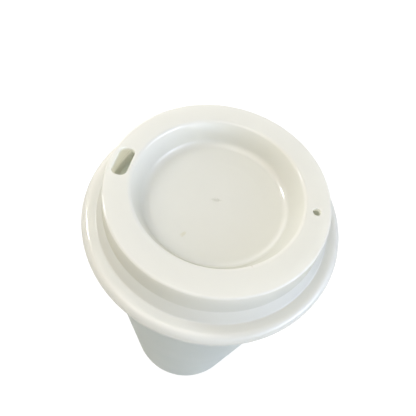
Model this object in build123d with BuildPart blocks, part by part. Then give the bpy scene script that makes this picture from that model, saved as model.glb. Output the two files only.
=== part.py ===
from build123d import *
import os
from math import copysign, hypot

# A coffee tumbler: a tapered drinking cup and the travel lid that presses onto its rim.
# Lengths are in millimetres, +Z is up, and the origin is on the table under the cup's axis.
# The drinking hole is towards -X and the air vent towards +X.

# Cup
cup_height = 141.7
base_radius = 30.8
mouth_radius = 43.1
cup_wall = 1.4
cup_floor = 1.8
cup_inner_corner = 5.0
foot_height = 3.5
foot_width = 2.4
foot_rounding = 0.7

# Rolled lip round the mouth of the cup
rim_overhang = 1.05
rim_depth = 3.2
rim_top_rounding = 0.9
rim_under_rounding = 0.6
mouth_rounding = 0.4

# Fit of the lid on the cup
skirt_clearance = 0.45
plug_clearance = 0.35
plug_depth = 4.0
plug_wall = 1.1

# Lid shell, whose dome stands over the plug and draws in to the drinking ring
lid_wall = 1.3
dome_height = 15.3
dome_foot_width = 0.8
dome_foot_rounding = 0.7
shoulder_inset = 2.25
shoulder_drop = 9.5
shoulder_rounding = 0.8
ring_inset = 0.7
ring_width = 9.15
ring_rounding = 1.2

# Sunken centre of the lid
well_depth = 9.3
well_edge_rounding = 1.6
well_wall_run = 4.3
well_corner = 3.6
dish_rise_width = 8.2
dish_depth = 0.35
dish_blend = 12.0
gate_radius = 1.2
gate_depth = 0.15

# Bead and lip of the lid's skirt
bead_bulge = 1.6
bead_rounding = 2.8
bead_height = 4.3
bead_under_rounding = 1.2
neck_drop = 0.9
neck_rounding = 0.5
lip_height = 0.9
lip_flare = 0.2
lip_rounding = 0.35

# Holes in the drinking ring, with the land left beside the drinking hole
sip_length = 12.0
sip_inner_land = 1.55
sip_outer_land = 2.2
sip_end_flat = 1.0
sip_edge_rounding = 0.35
vent_radius = 1.4
vent_inset = 5.1

# Values worked out from the ones above
rim_radius = mouth_radius + rim_overhang
mouth_bore = mouth_radius - cup_wall
floor_top = foot_height + cup_floor
lip_radius = rim_radius + skirt_clearance + lid_wall
bead_radius = lip_radius + bead_bulge
flange_top = cup_height + lid_wall
ring_top = cup_height + dome_height
well_floor = ring_top - well_depth
bead_bottom = flange_top - bead_height
neck = bead_bottom - neck_drop
plug_radius = mouth_bore - plug_clearance
dome_foot_radius = plug_radius + dome_foot_width
shoulder_radius = dome_foot_radius - shoulder_inset
ring_radius = shoulder_radius - ring_inset
well_radius = ring_radius - ring_width
well_floor_radius = well_radius - well_wall_run
dish_radius = well_floor_radius - dish_rise_width
sip_width = ring_width - sip_inner_land - sip_outer_land
sip_corner = (sip_width - sip_end_flat) / 2
sip_offset = ring_radius - sip_outer_land - sip_width / 2
vent_offset = ring_radius - vent_inset


def wall_radius(height):
    """Outer radius of the cup's wall at a height above the table."""
    return base_radius + (mouth_radius - base_radius) * height / cup_height


def beside(corners, thickness):
    """The line one thickness to the right of a line of (radius, height, rounding) corners."""
    # A corner that turns left is rounded more on the outside of its bend, one that turns right less
    normals = []
    for (r0, z0, _), (r1, z1, _) in zip(corners, corners[1:]):
        length = hypot(r1 - r0, z1 - z0)
        normals.append(((z1 - z0) / length, (r0 - r1) / length))
    before = [normals[0]] + normals
    after = normals + [normals[-1]]
    line = []
    for (r, z, rounding), (ar, az), (br, bz) in zip(corners, before, after):
        reach = thickness / (1 + ar * br + az * bz)
        turn = ar * bz - az * br
        if rounding and turn:
            rounding = max(rounding + copysign(thickness, turn), 0)
        line.append((r + reach * (ar + br), z + reach * (az + bz), rounding))
    return line


def height_between(start, end, radius):
    """Height at a radius on the straight line from one corner to another."""
    return start[1] + (end[1] - start[1]) * (radius - start[0]) / (end[0] - start[0])


# Section of the cup: under the floor, down the foot, up the outside, over the lip, down the inside
cup_outline = [
    (0, foot_height, 0),
    (wall_radius(foot_height) - foot_width, foot_height, foot_rounding),
    (base_radius - foot_width, 0, foot_rounding),
    (base_radius, 0, foot_rounding),
    (wall_radius(cup_height - rim_depth), cup_height - rim_depth, rim_under_rounding),
    (rim_radius, cup_height - rim_depth + rim_overhang / 2, rim_under_rounding),
    (rim_radius, cup_height, rim_top_rounding),
    (mouth_bore, cup_height, mouth_rounding),
    (wall_radius(floor_top) - cup_wall, floor_top, cup_inner_corner),
    (0, floor_top, 0),
]

with BuildPart() as cup:
    with BuildSketch(Plane.XZ):
        with BuildLine():
            FilletPolyline(
                [(r, z) for r, z, _ in cup_outline],
                radius=[rounding for _, _, rounding in cup_outline],
                close=True,
            )
        make_face()
    revolve(axis=Axis.Z)

# Upper face of the lid, from its centre out over the drinking ring and down to the lip
lid_face = [
    (0, well_floor, 0),
    (dish_radius, well_floor, dish_blend),
    (well_floor_radius, well_floor + dish_depth, well_corner),
    (well_radius, ring_top, well_edge_rounding),
    (ring_radius, ring_top, ring_rounding),
    (shoulder_radius, ring_top - shoulder_drop, shoulder_rounding),
    (dome_foot_radius, flange_top, dome_foot_rounding),
    (bead_radius, flange_top, bead_rounding),
    (bead_radius, bead_bottom, bead_under_rounding),
    (lip_radius, neck, neck_rounding),
    (lip_radius + lip_flare, neck - lip_height, lip_rounding),
]
lid_back = beside(lid_face, lid_wall)
lid_outline = lid_face + lid_back[::-1]

# The plug hangs from the middle of the dome's wall into the mouth of the cup
shoulder, dome_foot = [
    [(face + back) / 2 for face, back in zip(lid_face[i], lid_back[i])] for i in (5, 6)
]
plug_taper = wall_radius(cup_height) - wall_radius(cup_height - plug_depth)
plug_bottom = cup_height - plug_depth
plug_outline = [
    (plug_radius, height_between(shoulder, dome_foot, plug_radius)),
    (plug_radius, cup_height),
    (plug_radius - plug_taper, plug_bottom),
    (plug_radius - plug_taper - plug_wall, plug_bottom),
    (plug_radius - plug_wall, cup_height),
    (plug_radius - plug_wall, height_between(shoulder, dome_foot, plug_radius - plug_wall)),
]

with BuildPart() as lid:
    with BuildSketch(Plane.XZ):
        with BuildLine():
            FilletPolyline(
                [(r, z) for r, z, _ in lid_outline],
                radius=[rounding for _, _, rounding in lid_outline],
                close=True,
            )
        make_face()
        with BuildLine():
            Polyline(plug_outline, close=True)
        make_face()
    revolve(axis=Axis.Z)

    # The drinking hole, and the vent opposite
    with BuildSketch(Plane.XY.offset(ring_top)):
        with Locations((-sip_offset, 0)):
            RectangleRounded(sip_width, sip_length, sip_corner)
        with Locations((vent_offset, 0)):
            Circle(vent_radius)
    extrude(amount=-2 * lid_wall, mode=Mode.SUBTRACT)

    # The small dimple where the plastic entered the mould
    with BuildSketch(Plane.XY.offset(well_floor)):
        Circle(gate_radius)
    extrude(amount=-gate_depth, mode=Mode.SUBTRACT)

    ring_face = lid.faces().filter_by(Plane.XY).sort_by(Axis.Z)[-1]
    sip_outline = ring_face.inner_wires().sort_by(Axis.X)[0]
    fillet(sip_outline.edges(), radius=sip_edge_rounding)

cup.part.label = "cup"
lid.part.label = "lid"

os.makedirs("parts", exist_ok=True)
export_step(cup.part, "parts/cup.step")
export_step(lid.part, "parts/lid.step")
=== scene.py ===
from math import acos, ceil, copysign, cos, hypot, pi, radians, sin, tan

import bpy
from mathutils import Matrix, Vector


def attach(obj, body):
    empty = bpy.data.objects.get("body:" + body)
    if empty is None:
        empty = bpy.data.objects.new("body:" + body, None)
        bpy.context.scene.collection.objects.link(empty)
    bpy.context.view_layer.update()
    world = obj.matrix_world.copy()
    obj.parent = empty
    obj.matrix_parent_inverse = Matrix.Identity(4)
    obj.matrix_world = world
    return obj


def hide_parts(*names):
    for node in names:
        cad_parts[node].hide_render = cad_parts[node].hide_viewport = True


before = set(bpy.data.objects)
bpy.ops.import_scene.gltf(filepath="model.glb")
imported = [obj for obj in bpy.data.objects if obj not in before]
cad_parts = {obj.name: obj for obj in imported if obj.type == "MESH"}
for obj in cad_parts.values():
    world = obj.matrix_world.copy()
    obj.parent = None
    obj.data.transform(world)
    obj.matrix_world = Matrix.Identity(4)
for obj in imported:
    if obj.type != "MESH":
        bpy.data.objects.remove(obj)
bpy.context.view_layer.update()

MM = 0.001

# Sizes of the two mouldings in millimetres, the same as in the CAD source. Levels such as
# ring_top are heights above the table.
cup_height = 141.7
base_radius = 30.8
mouth_radius = 43.1
mouth_bore = 41.7
cup_wall = 1.4
floor_top = 5.3
foot_height = 3.5
foot_width = 2.4
rim_radius = 44.15
rim_overhang = 1.05
rim_depth = 3.2
lid_wall = 1.3
well_floor = 147.7
dish_radius = 17.55
dish_depth = 0.35
well_floor_radius = 25.75
well_radius = 30.05
ring_top = 157.0
ring_radius = 39.2
shoulder_radius = 39.9
shoulder_drop = 9.5
dome_foot_radius = 42.15
flange_top = 143.0
bead_radius = 47.5
bead_bottom = 138.7
neck = 137.8
lip_radius = 45.9
lip_height = 0.9
lip_flare = 0.2
plug_radius = 41.35
plug_depth = 4.0
plug_wall = 1.1
sip_width = 5.4
sip_length = 12.0
sip_corner = 2.2
sip_offset = 34.3
vent_radius = 1.4
vent_offset = 34.1
gate_radius = 1.2
gate_depth = 0.15

# Roundings of the cup's edges
foot_rounding = 0.7
rim_under_rounding = 0.6
rim_top_rounding = 0.9
mouth_rounding = 0.4
cup_inner_corner = 5.0

# Roundings of the lid's edges. The ring's is tighter than in the CAD, as the photo shows it.
gate_rounding = 0.05
dish_blend = 12.0
well_corner = 3.6
well_edge_rounding = 1.6
ring_rounding = 0.8
shoulder_rounding = 0.8
dome_foot_rounding = 0.7
bead_rounding = 2.8
bead_under_rounding = 1.2
neck_rounding = 0.5
lip_rounding = 0.35
sip_edge = 0.35
vent_edge = 0.2

# Fineness of the meshes
tiny = 1e-6
segments = 320
arc_step = radians(7)
longest_run = 3.0
beside_arc = 0.12
hole_corner_steps = 10
edge_steps = 6
edge_turn = radians(72)
edge_overshoot = 0.06
sharp_angle = radians(32)
normal_weight = 60


def wall_radius(height):
    """Outer radius of the cup's wall at a height above the table."""
    return base_radius + (mouth_radius - base_radius) * height / cup_height


def beside(corners, thickness):
    """The line one thickness to the right of a line of (radius, height, rounding) corners."""
    # The line runs outside a left turn, so it is rounded more there, and less at a right turn
    normals = []
    for (r0, z0, _), (r1, z1, _) in zip(corners, corners[1:]):
        length = hypot(r1 - r0, z1 - z0)
        normals.append(((z1 - z0) / length, (r0 - r1) / length))
    before = [normals[0]] + normals
    after = normals + [normals[-1]]
    line = []
    for (r, z, rounding), (ar, az), (br, bz) in zip(corners, before, after):
        reach = thickness / (1 + ar * br + az * bz)
        turn = ar * bz - az * br
        if rounding and turn:
            rounding = max(rounding + copysign(thickness, turn), 0)
        line.append((r + reach * (ar + br), z + reach * (az + bz), rounding))
    return line


def corner_arc(last, here, following, rounding):
    """Points of the arc that rounds the corner here between its two neighbours."""
    came, goes = (here - last).normalized(), (following - here).normalized()
    turn = acos(max(-1, min(1, came.dot(goes))))
    if not rounding or turn < tiny:
        return [here]
    side = copysign(1, came.x * goes.y - came.y * goes.x)
    reach = rounding * tan(turn / 2)
    start = here - came * reach
    centre = start + Vector((-came.y, came.x)) * side * rounding
    steps = max(2, ceil(turn / arc_step))
    arm = start - centre
    return [centre + Matrix.Rotation(side * turn * k / steps, 2) @ arm for k in range(steps + 1)]


def rounded(corners):
    """Points along a line of (radius, height, rounding) corners, from its first to its last."""
    flat = [Vector((r, z)) for r, z, _ in corners]
    arcs = [
        corner_arc(flat[i - 1], flat[i], flat[(i + 1) % len(flat)], rounding)
        for i, (_, _, rounding) in enumerate(corners)
    ]
    points = []
    for arc, following in zip(arcs, arcs[1:]):
        points += arc
        # A straight run gets a point close to each end, which keeps its shading flat
        run = following[0] - arc[-1]
        if run.length > 4 * beside_arc:
            inner = run.length - 2 * beside_arc
            pieces = max(1, ceil(inner / longest_run))
            points += [
                arc[-1] + run.normalized() * (beside_arc + inner * k / pieces)
                for k in range(pieces + 1)
            ]
    return points + arcs[-1]


def new_piece(name, verts, faces):
    """A mesh object in the scene."""
    mesh = bpy.data.meshes.new(name)
    mesh.from_pydata(verts, [], faces)
    piece = bpy.data.objects.new(name, mesh)
    bpy.context.scene.collection.objects.link(piece)
    return piece


def lathe(name, points):
    """A closed solid turned round the Z axis from a section that starts and ends on it."""
    verts, rows = [], []
    for p in points:
        if p.x < tiny:
            rows.append([len(verts)])
            verts.append((0, 0, p.y * MM))
            continue
        rows.append(range(len(verts), len(verts) + segments))
        for k in range(segments):
            a = 2 * pi * k / segments
            verts.append((p.x * MM * cos(a), p.x * MM * sin(a), p.y * MM))
    faces = []
    for low, high in zip(rows, rows[1:]):
        for k in range(segments):
            after = (k + 1) % segments
            if len(low) == 1:
                faces.append((low[0], high[after], high[k]))
            elif len(high) == 1:
                faces.append((low[k], low[after], high[0]))
            else:
                faces.append((low[k], low[after], high[after], high[k]))
    return new_piece(name, verts, faces)


def cutter(name, levels):
    """A closed prism through outlines of equal point counts, from the lowest up."""
    count = len(levels[0][0])
    verts = [(x * MM, y * MM, z * MM) for outline, z in levels for x, y in outline]
    faces = [tuple(range(count))[::-1], tuple(range(len(verts) - count, len(verts)))]
    for level in range(len(levels) - 1):
        for k in range(count):
            a, b = level * count + k, level * count + (k + 1) % count
            faces.append((a, b, b + count, a + count))
    return new_piece(name, verts, faces)


def rounded_rectangle(x, width, length, corner):
    """Outline of a rectangle with round corners, centred on (x, 0)."""
    outline = []
    for quarter, (sx, sy) in enumerate(((1, 1), (-1, 1), (-1, -1), (1, -1))):
        cx, cy = x + sx * (width / 2 - corner), sy * (length / 2 - corner)
        for k in range(hole_corner_steps + 1):
            a = (quarter + k / hole_corner_steps) * pi / 2
            outline.append((cx + corner * cos(a), cy + corner * sin(a)))
    return outline


def flared(x, width, length, corner, edge):
    """Levels of a cutter that goes down through the ring and leaves a rounded upper edge."""
    def outline(grow):
        return rounded_rectangle(x, width + 2 * grow, length + 2 * grow, corner + grow)

    levels = [(outline(0), ring_top - 2 * lid_wall), (outline(0), ring_top - edge)]
    for k in range(1, edge_steps + 1):
        a = edge_turn * k / edge_steps
        levels.append((outline(edge * (1 - cos(a))), ring_top - edge + edge * sin(a)))
    rise = edge_overshoot + edge * (1 - sin(edge_turn))
    top = outline(edge * (1 - cos(edge_turn)) + rise * tan(edge_turn))
    levels.append((top, ring_top + edge_overshoot))
    return levels


def cut(piece, tool):
    """Takes one closed mesh out of another."""
    step = piece.modifiers.new("cut", "BOOLEAN")
    step.operation = "DIFFERENCE"
    step.solver = "EXACT"
    step.object = tool
    evaluated = piece.evaluated_get(bpy.context.evaluated_depsgraph_get())
    done = bpy.data.meshes.new_from_object(evaluated)
    piece.modifiers.remove(step)
    piece.data = done
    bpy.data.objects.remove(tool)


def smooth(piece):
    """Smooth shading with the flat faces kept flat and the real corners kept sharp."""
    piece.data.shade_smooth()
    piece.data.set_sharp_from_angle(angle=sharp_angle)
    weighted = piece.modifiers.new("normals", "WEIGHTED_NORMAL")
    weighted.keep_sharp = True
    weighted.weight = normal_weight


def crossing(line, radius):
    """Index and place where a section's line first comes in past a radius."""
    for i, (a, b) in enumerate(zip(line, line[1:])):
        if a.x > radius >= b.x:
            return i, a.lerp(b, (a.x - radius) / (a.x - b.x))
    raise ValueError("the plug misses the lid's wall")


# Section of the cup: under the floor, down the foot, up the outside, over the lip, down the inside
cup_outline = [
    (0, foot_height, 0),
    (wall_radius(foot_height) - foot_width, foot_height, foot_rounding),
    (base_radius - foot_width, 0, foot_rounding),
    (base_radius, 0, foot_rounding),
    (wall_radius(cup_height - rim_depth), cup_height - rim_depth, rim_under_rounding),
    (rim_radius, cup_height - rim_depth + rim_overhang / 2, rim_under_rounding),
    (rim_radius, cup_height, rim_top_rounding),
    (mouth_bore, cup_height, mouth_rounding),
    (wall_radius(floor_top) - cup_wall, floor_top, cup_inner_corner),
    (0, floor_top, 0),
]
cup = lathe("cup_body", rounded(cup_outline))

# Upper face of the lid, from its centre out over the drinking ring and down to the lip
lid_face = [
    (0, well_floor, 0),
    (dish_radius, well_floor, dish_blend),
    (well_floor_radius, well_floor + dish_depth, well_corner),
    (well_radius, ring_top, well_edge_rounding),
    (ring_radius, ring_top, ring_rounding),
    (shoulder_radius, ring_top - shoulder_drop, shoulder_rounding),
    (dome_foot_radius, flange_top, dome_foot_rounding),
    (bead_radius, flange_top, bead_rounding),
    (bead_radius, bead_bottom, bead_under_rounding),
    (lip_radius, neck, neck_rounding),
    (lip_radius + lip_flare, neck - lip_height, lip_rounding),
]
lid_back = beside(lid_face, lid_wall)

# The small dimple where the plastic entered the mould takes the place of the face's centre.
# Its side slopes, so it is narrower at its bottom and wider at its top.
gate_narrowing = 0.06
gate_widening = 0.03
gate = [
    (0, well_floor - gate_depth, 0),
    (gate_radius - gate_narrowing, well_floor - gate_depth, gate_rounding),
    (gate_radius + gate_widening, well_floor, gate_rounding),
]
lid_line = rounded(gate + lid_face[1:] + lid_back[::-1])

# The plug hangs from the back of the dome's wall into the mouth of the cup
plug_taper = wall_radius(cup_height) - wall_radius(cup_height - plug_depth)
plug_bottom = cup_height - plug_depth
plug = [
    Vector((plug_radius, cup_height)),
    Vector((plug_radius - plug_taper, plug_bottom)),
    Vector((plug_radius - plug_taper - plug_wall, plug_bottom)),
    Vector((plug_radius - plug_wall, cup_height)),
]
outer, outer_point = crossing(lid_line, plug_radius)
inner, inner_point = crossing(lid_line, plug_radius - plug_wall)
lid_line = lid_line[:outer + 1] + [outer_point] + plug + [inner_point] + lid_line[inner + 1:]
lid = lathe("lid_shell", lid_line)

# The drinking hole, and the vent opposite
cut(lid, cutter("sip_cutter", flared(-sip_offset, sip_width, sip_length, sip_corner, sip_edge)))
cut(lid, cutter("vent_cutter", flared(
    vent_offset, 2 * vent_radius, 2 * vent_radius, vent_radius, vent_edge)))

for piece, node in ((cup, "cup"), (lid, "lid")):
    smooth(piece)
    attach(piece, node)
    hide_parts(node)


class Nodes:
    """Short ways to add shader nodes to one tree."""

    def __init__(self, tree):
        self.tree = tree

    def add(self, kind, out=0, settings=None, **inputs):
        """A node with its inputs set or linked, by name or as iNUMBER. Returns the chosen output."""
        node = self.tree.nodes.new("ShaderNode" + kind)
        for key, value in (settings or {}).items():
            setattr(node, key, value)
        for key, value in inputs.items():
            numbered = key[0] == "i" and key[1:].isdigit()
            socket = node.inputs[int(key[1:]) if numbered else key]
            if isinstance(value, bpy.types.NodeSocket):
                self.tree.links.new(value, socket)
            else:
                socket.default_value = value
        return node.outputs[out]

    def math(self, operation, *values):
        inputs = {f"i{k}": value for k, value in enumerate(values)}
        return self.add("Math", 0, {"operation": operation}, **inputs)

    def vector(self, operation, *values, out=0):
        inputs = {f"i{k}": value for k, value in enumerate(values)}
        return self.add("VectorMath", out, {"operation": operation}, **inputs)

    def noise(self, place, scale, detail=2.0, rough=0.5):
        return self.add(
            "TexNoise", "Fac", None, Vector=place, Scale=scale, Detail=detail, Roughness=rough)

    def ramp(self, value, low, high, to_low=0.0, to_high=1.0):
        """A value taken smoothly from one range to another."""
        return self.add("MapRange", 0, {"interpolation_type": "SMOOTHSTEP"}, **{
            "Value": value, "From Min": low, "From Max": high,
            "To Min": to_low, "To Max": to_high})

    def mix(self, factor, a, b):
        return self.add("Mix", 2, {"data_type": "RGBA"}, i0=factor, i6=a, i7=b)

    def bump(self, height, distance, **normal):
        return self.add("Bump", 0, None, Strength=1.0, Distance=distance, Height=height, **normal)

    def backdrop(self):
        """1 for the rays that show the white background, 0 for those that light the object."""
        path = self.tree.nodes.new("ShaderNodeLightPath").outputs
        mirrored = self.math("MAXIMUM", path["Is Glossy Ray"], path["Is Transmission Ray"])
        return self.math("MAXIMUM", path["Is Camera Ray"], mirrored)


# Small marks: half their depth in millimetres, how ragged they are, and the share that is full
spot_depth = 2
spot_raggedness = 1.2
spot_core = 0.35


def spot(n, place, centre, size, turn, breakup):
    """1 inside a small ragged mark on the surface, fading to 0 outside it."""
    away = n.add(
        "Mapping", 0, {"vector_type": "TEXTURE"}, Vector=place,
        Location=[v * MM for v in centre], Rotation=(0, 0, radians(turn)),
        Scale=[v * MM for v in (*size, spot_depth)])
    ragged = n.math(
        "MULTIPLY_ADD", n.noise(place, breakup, 3, 0.7), spot_raggedness, -spot_raggedness / 2)
    return n.ramp(n.math("ADD", n.vector("LENGTH", away, out="Value"), ragged), 1.0, spot_core)


# Index of refraction of polypropylene
plastic_ior = 1.49
# How finely the features of the plastic repeat, and how far blotches and specks go to the tint
blotch_scale = 38
blotch_strength = 0.55
speck_scale = 900
speck_strength = 0.35
gloss_scale = 70
wave_scale = 48
grain_scale = 1800
streak_stretch = (40, 260, 400)
streak_scale = 4


def plastic(name, colour, tint, roughness, gloss_level, rub, wave, grain, through, warmth, marks=()):
    """Thin moulded plastic: soft blotches of tint, uneven gloss, faint waves and a fine grain.

    roughness is a range and rub what a rubbed streak adds to it. wave and grain are heights in
    metres. through is the share of light that passes the wall, and warmth colours that light.
    Each mark has a centre, a size, a turn, a breakup scale, a strength and a colour.
    """
    material = bpy.data.materials.new(name)
    material.use_nodes = True
    tree = material.node_tree
    n = Nodes(tree)
    shader = tree.nodes["Principled BSDF"]
    shader.inputs["IOR"].default_value = plastic_ior
    shader.inputs["Specular IOR Level"].default_value = gloss_level
    place = n.add("TexCoord", "Object")
    blotch = n.ramp(n.noise(place, blotch_scale, 3), 0.35, 0.65)
    blotch = n.math("MULTIPLY", blotch, blotch_strength)
    speck = n.ramp(n.noise(place, speck_scale, 2), 0.62, 0.8, 0, speck_strength)
    base = n.mix(n.math("MAXIMUM", blotch, speck), (*colour, 1), (*tint, 1))
    for centre, size, turn, breakup, strength, stain in marks:
        mark = n.math("MULTIPLY", spot(n, place, centre, size, turn, breakup), strength)
        base = n.mix(mark, base, (*stain, 1))
    tree.links.new(base, shader.inputs["Base Color"])
    gloss = n.ramp(n.noise(place, gloss_scale, 5, 0.6), 0.3, 0.7, *roughness)
    streaks = n.add("Mapping", 0, None, Vector=place, Scale=streak_stretch)
    rubbed = n.math("MULTIPLY", n.ramp(n.noise(streaks, streak_scale, 4, 0.7), 0.55, 0.75), rub)
    tree.links.new(n.math("ADD", gloss, rubbed), shader.inputs["Roughness"])
    waves = n.bump(n.noise(place, wave_scale, 1), wave)
    fine = n.bump(n.noise(place, grain_scale, 3), grain, Normal=waves)
    tree.links.new(fine, shader.inputs["Normal"])
    # The walls are thin enough to let part of the light through to their other side
    passed = n.vector("MULTIPLY", base, warmth)
    glow = n.add("BsdfTranslucent", 0, None, Color=passed, Normal=fine)
    both = n.add("MixShader", 0, None, i0=through, i1=shader.outputs[0], i2=glow)
    tree.links.new(both, tree.nodes["Material Output"].inputs["Surface"])
    return material


# The lid is the glossier piece. Its marks are a grey patch at the centre, which is painted shade of
# the gate dimple there, and two faint scuffs.
lid.data.materials.append(plastic(
    "lid_white",
    colour=(0.828, 0.854, 0.856),
    tint=(0.815, 0.841, 0.836),
    roughness=(0.06, 0.12),
    gloss_level=1.0,
    rub=0.03,
    wave=0.00005,
    grain=0.0000012,
    through=0.47,
    warmth=(1.065, 1.01, 0.89),
    marks=(
        # painted shade: a grey patch that darkens the shallow gate dimple
        ((0.2, 0.3, well_floor), (2.2, 0.75), 10, 900, 0.36, (0.50, 0.52, 0.46)),
        ((-7.6, -16.4, well_floor), (1.6, 0.9), 60, 1500, 0.35, (0.66, 0.64, 0.46)),
        ((15.9, -25.3, ring_top), (0.5, 0.9), 30, 1500, 0.4, (0.62, 0.60, 0.56)),
    )))
# The cup is white plastic, but its colour and tint are darker and bluer: painted shade from the lid
# above it and painted cool light from the side.
cup.data.materials.append(plastic(
    "cup_white_painted_shade",
    colour=(0.65, 0.735, 0.765),
    tint=(0.635, 0.72, 0.745),
    roughness=(0.28, 0.36),
    gloss_level=0.7,
    rub=0.01,
    wave=0.00004,
    grain=0.000003,
    through=0.44,
    warmth=(1.25, 1.07, 0.87)))

# Camera, fitted to the photo
scene = bpy.context.scene
camera = bpy.data.objects.new("camera", bpy.data.cameras.new("camera"))
scene.collection.objects.link(camera)
camera.matrix_world = Matrix((
    (0.965504, -0.255399, 0.050731, 0.002),
    (0.234345, 0.767357, -0.596863, -0.082281),
    (0.113509, 0.588163, 0.800737, 0.273241),
    (0, 0, 0, 1),
))
camera.data.lens = 36.086
camera.data.sensor_width = 36
camera.data.shift_x = 0.00215
camera.data.shift_y = -0.0862
camera.data.clip_start = 0.01
camera.data.clip_end = 50
scene.camera = camera


def towards(azimuth, elevation):
    """Unit vector from azimuth and elevation in degrees, azimuth 0 being +X."""
    a, e = radians(azimuth), radians(elevation)
    return Vector((cos(e) * cos(a), cos(e) * sin(a), sin(e)))


# Key lamp: a rectangle, aimed at the lid
key_way = towards(161, 46)
key_distance = 1.8
key_target = Vector((0, 0, 0.15))
key_width, key_height = 0.24, 0.34
key_radiance = 41.5
key = bpy.data.lights.new("key", "AREA")
key.shape = "RECTANGLE"
key.size, key.size_y = key_width, key_height
key.color = (0.965, 0.985, 1.0)
key.energy = key_radiance * pi * key_width * key_height
key_lamp = bpy.data.objects.new("key", key)
scene.collection.objects.link(key_lamp)
key_lamp.location = key_target + key_way * key_distance
key_lamp.rotation_mode = "QUATERNION"
key_lamp.rotation_quaternion = key_way.to_track_quat("Z", "Y")

# Soft light from all round: a dim even part, and wide soft patches given by
# azimuth, elevation and colour
even_light = (0.015, 0.015, 0.015)
patch_narrowness = 10
patches = (
    (346, 5, (6.4, 7.0, 8.9)),
    (302, 2, (1.1, 1.4, 1.7)),
    (250, 68, (3.3, 3.1, 2.95)),
    (115, 6, (1.9, 1.9, 2.3)),
    (212, 42, (0.6, 0.35, 0.1)),
    (135, 28, (2.0, 1.9, 1.75)),
)
world = bpy.data.worlds.new("world")
scene.world = world
world.use_nodes = True
n = Nodes(world.node_tree)
way = n.add("TexCoord", "Generated")
light = even_light
for azimuth, elevation, colour in patches:
    facing = n.vector("DOT_PRODUCT", way, towards(azimuth, elevation), out="Value")
    patch = n.math("POWER", n.math("MAXIMUM", facing, 0.0), patch_narrowness)
    light = n.vector("MULTIPLY_ADD", patch, colour, light)
background = world.node_tree.nodes["Background"]
world.node_tree.links.new(n.vector("ADD", light, n.backdrop()), background.inputs["Color"])
background.inputs["Strength"].default_value = 1.0

# Floor, a wide disc
floor_radius = 6
floor_sides = 96
floor_glow = 0.82
turns = [2 * pi * k / floor_sides for k in range(floor_sides)]
floor = new_piece(
    "floor", [(floor_radius * cos(a), floor_radius * sin(a), 0) for a in turns],
    [tuple(range(floor_sides))])
floor_material = bpy.data.materials.new("floor")
floor_material.use_nodes = True
tree = floor_material.node_tree
n = Nodes(tree)
shader = tree.nodes["Principled BSDF"]
shader.inputs["Base Color"].default_value = (0.25, 0.25, 0.25, 1)
shader.inputs["Roughness"].default_value = 0.9
shader.inputs["Specular IOR Level"].default_value = 0.0
shader.inputs["Emission Color"].default_value = (1, 1, 1, 1)
glow = n.math("MULTIPLY", n.backdrop(), floor_glow)
tree.links.new(glow, shader.inputs["Emission Strength"])
floor.data.materials.append(floor_material)

scene.view_settings.view_transform = "Standard"
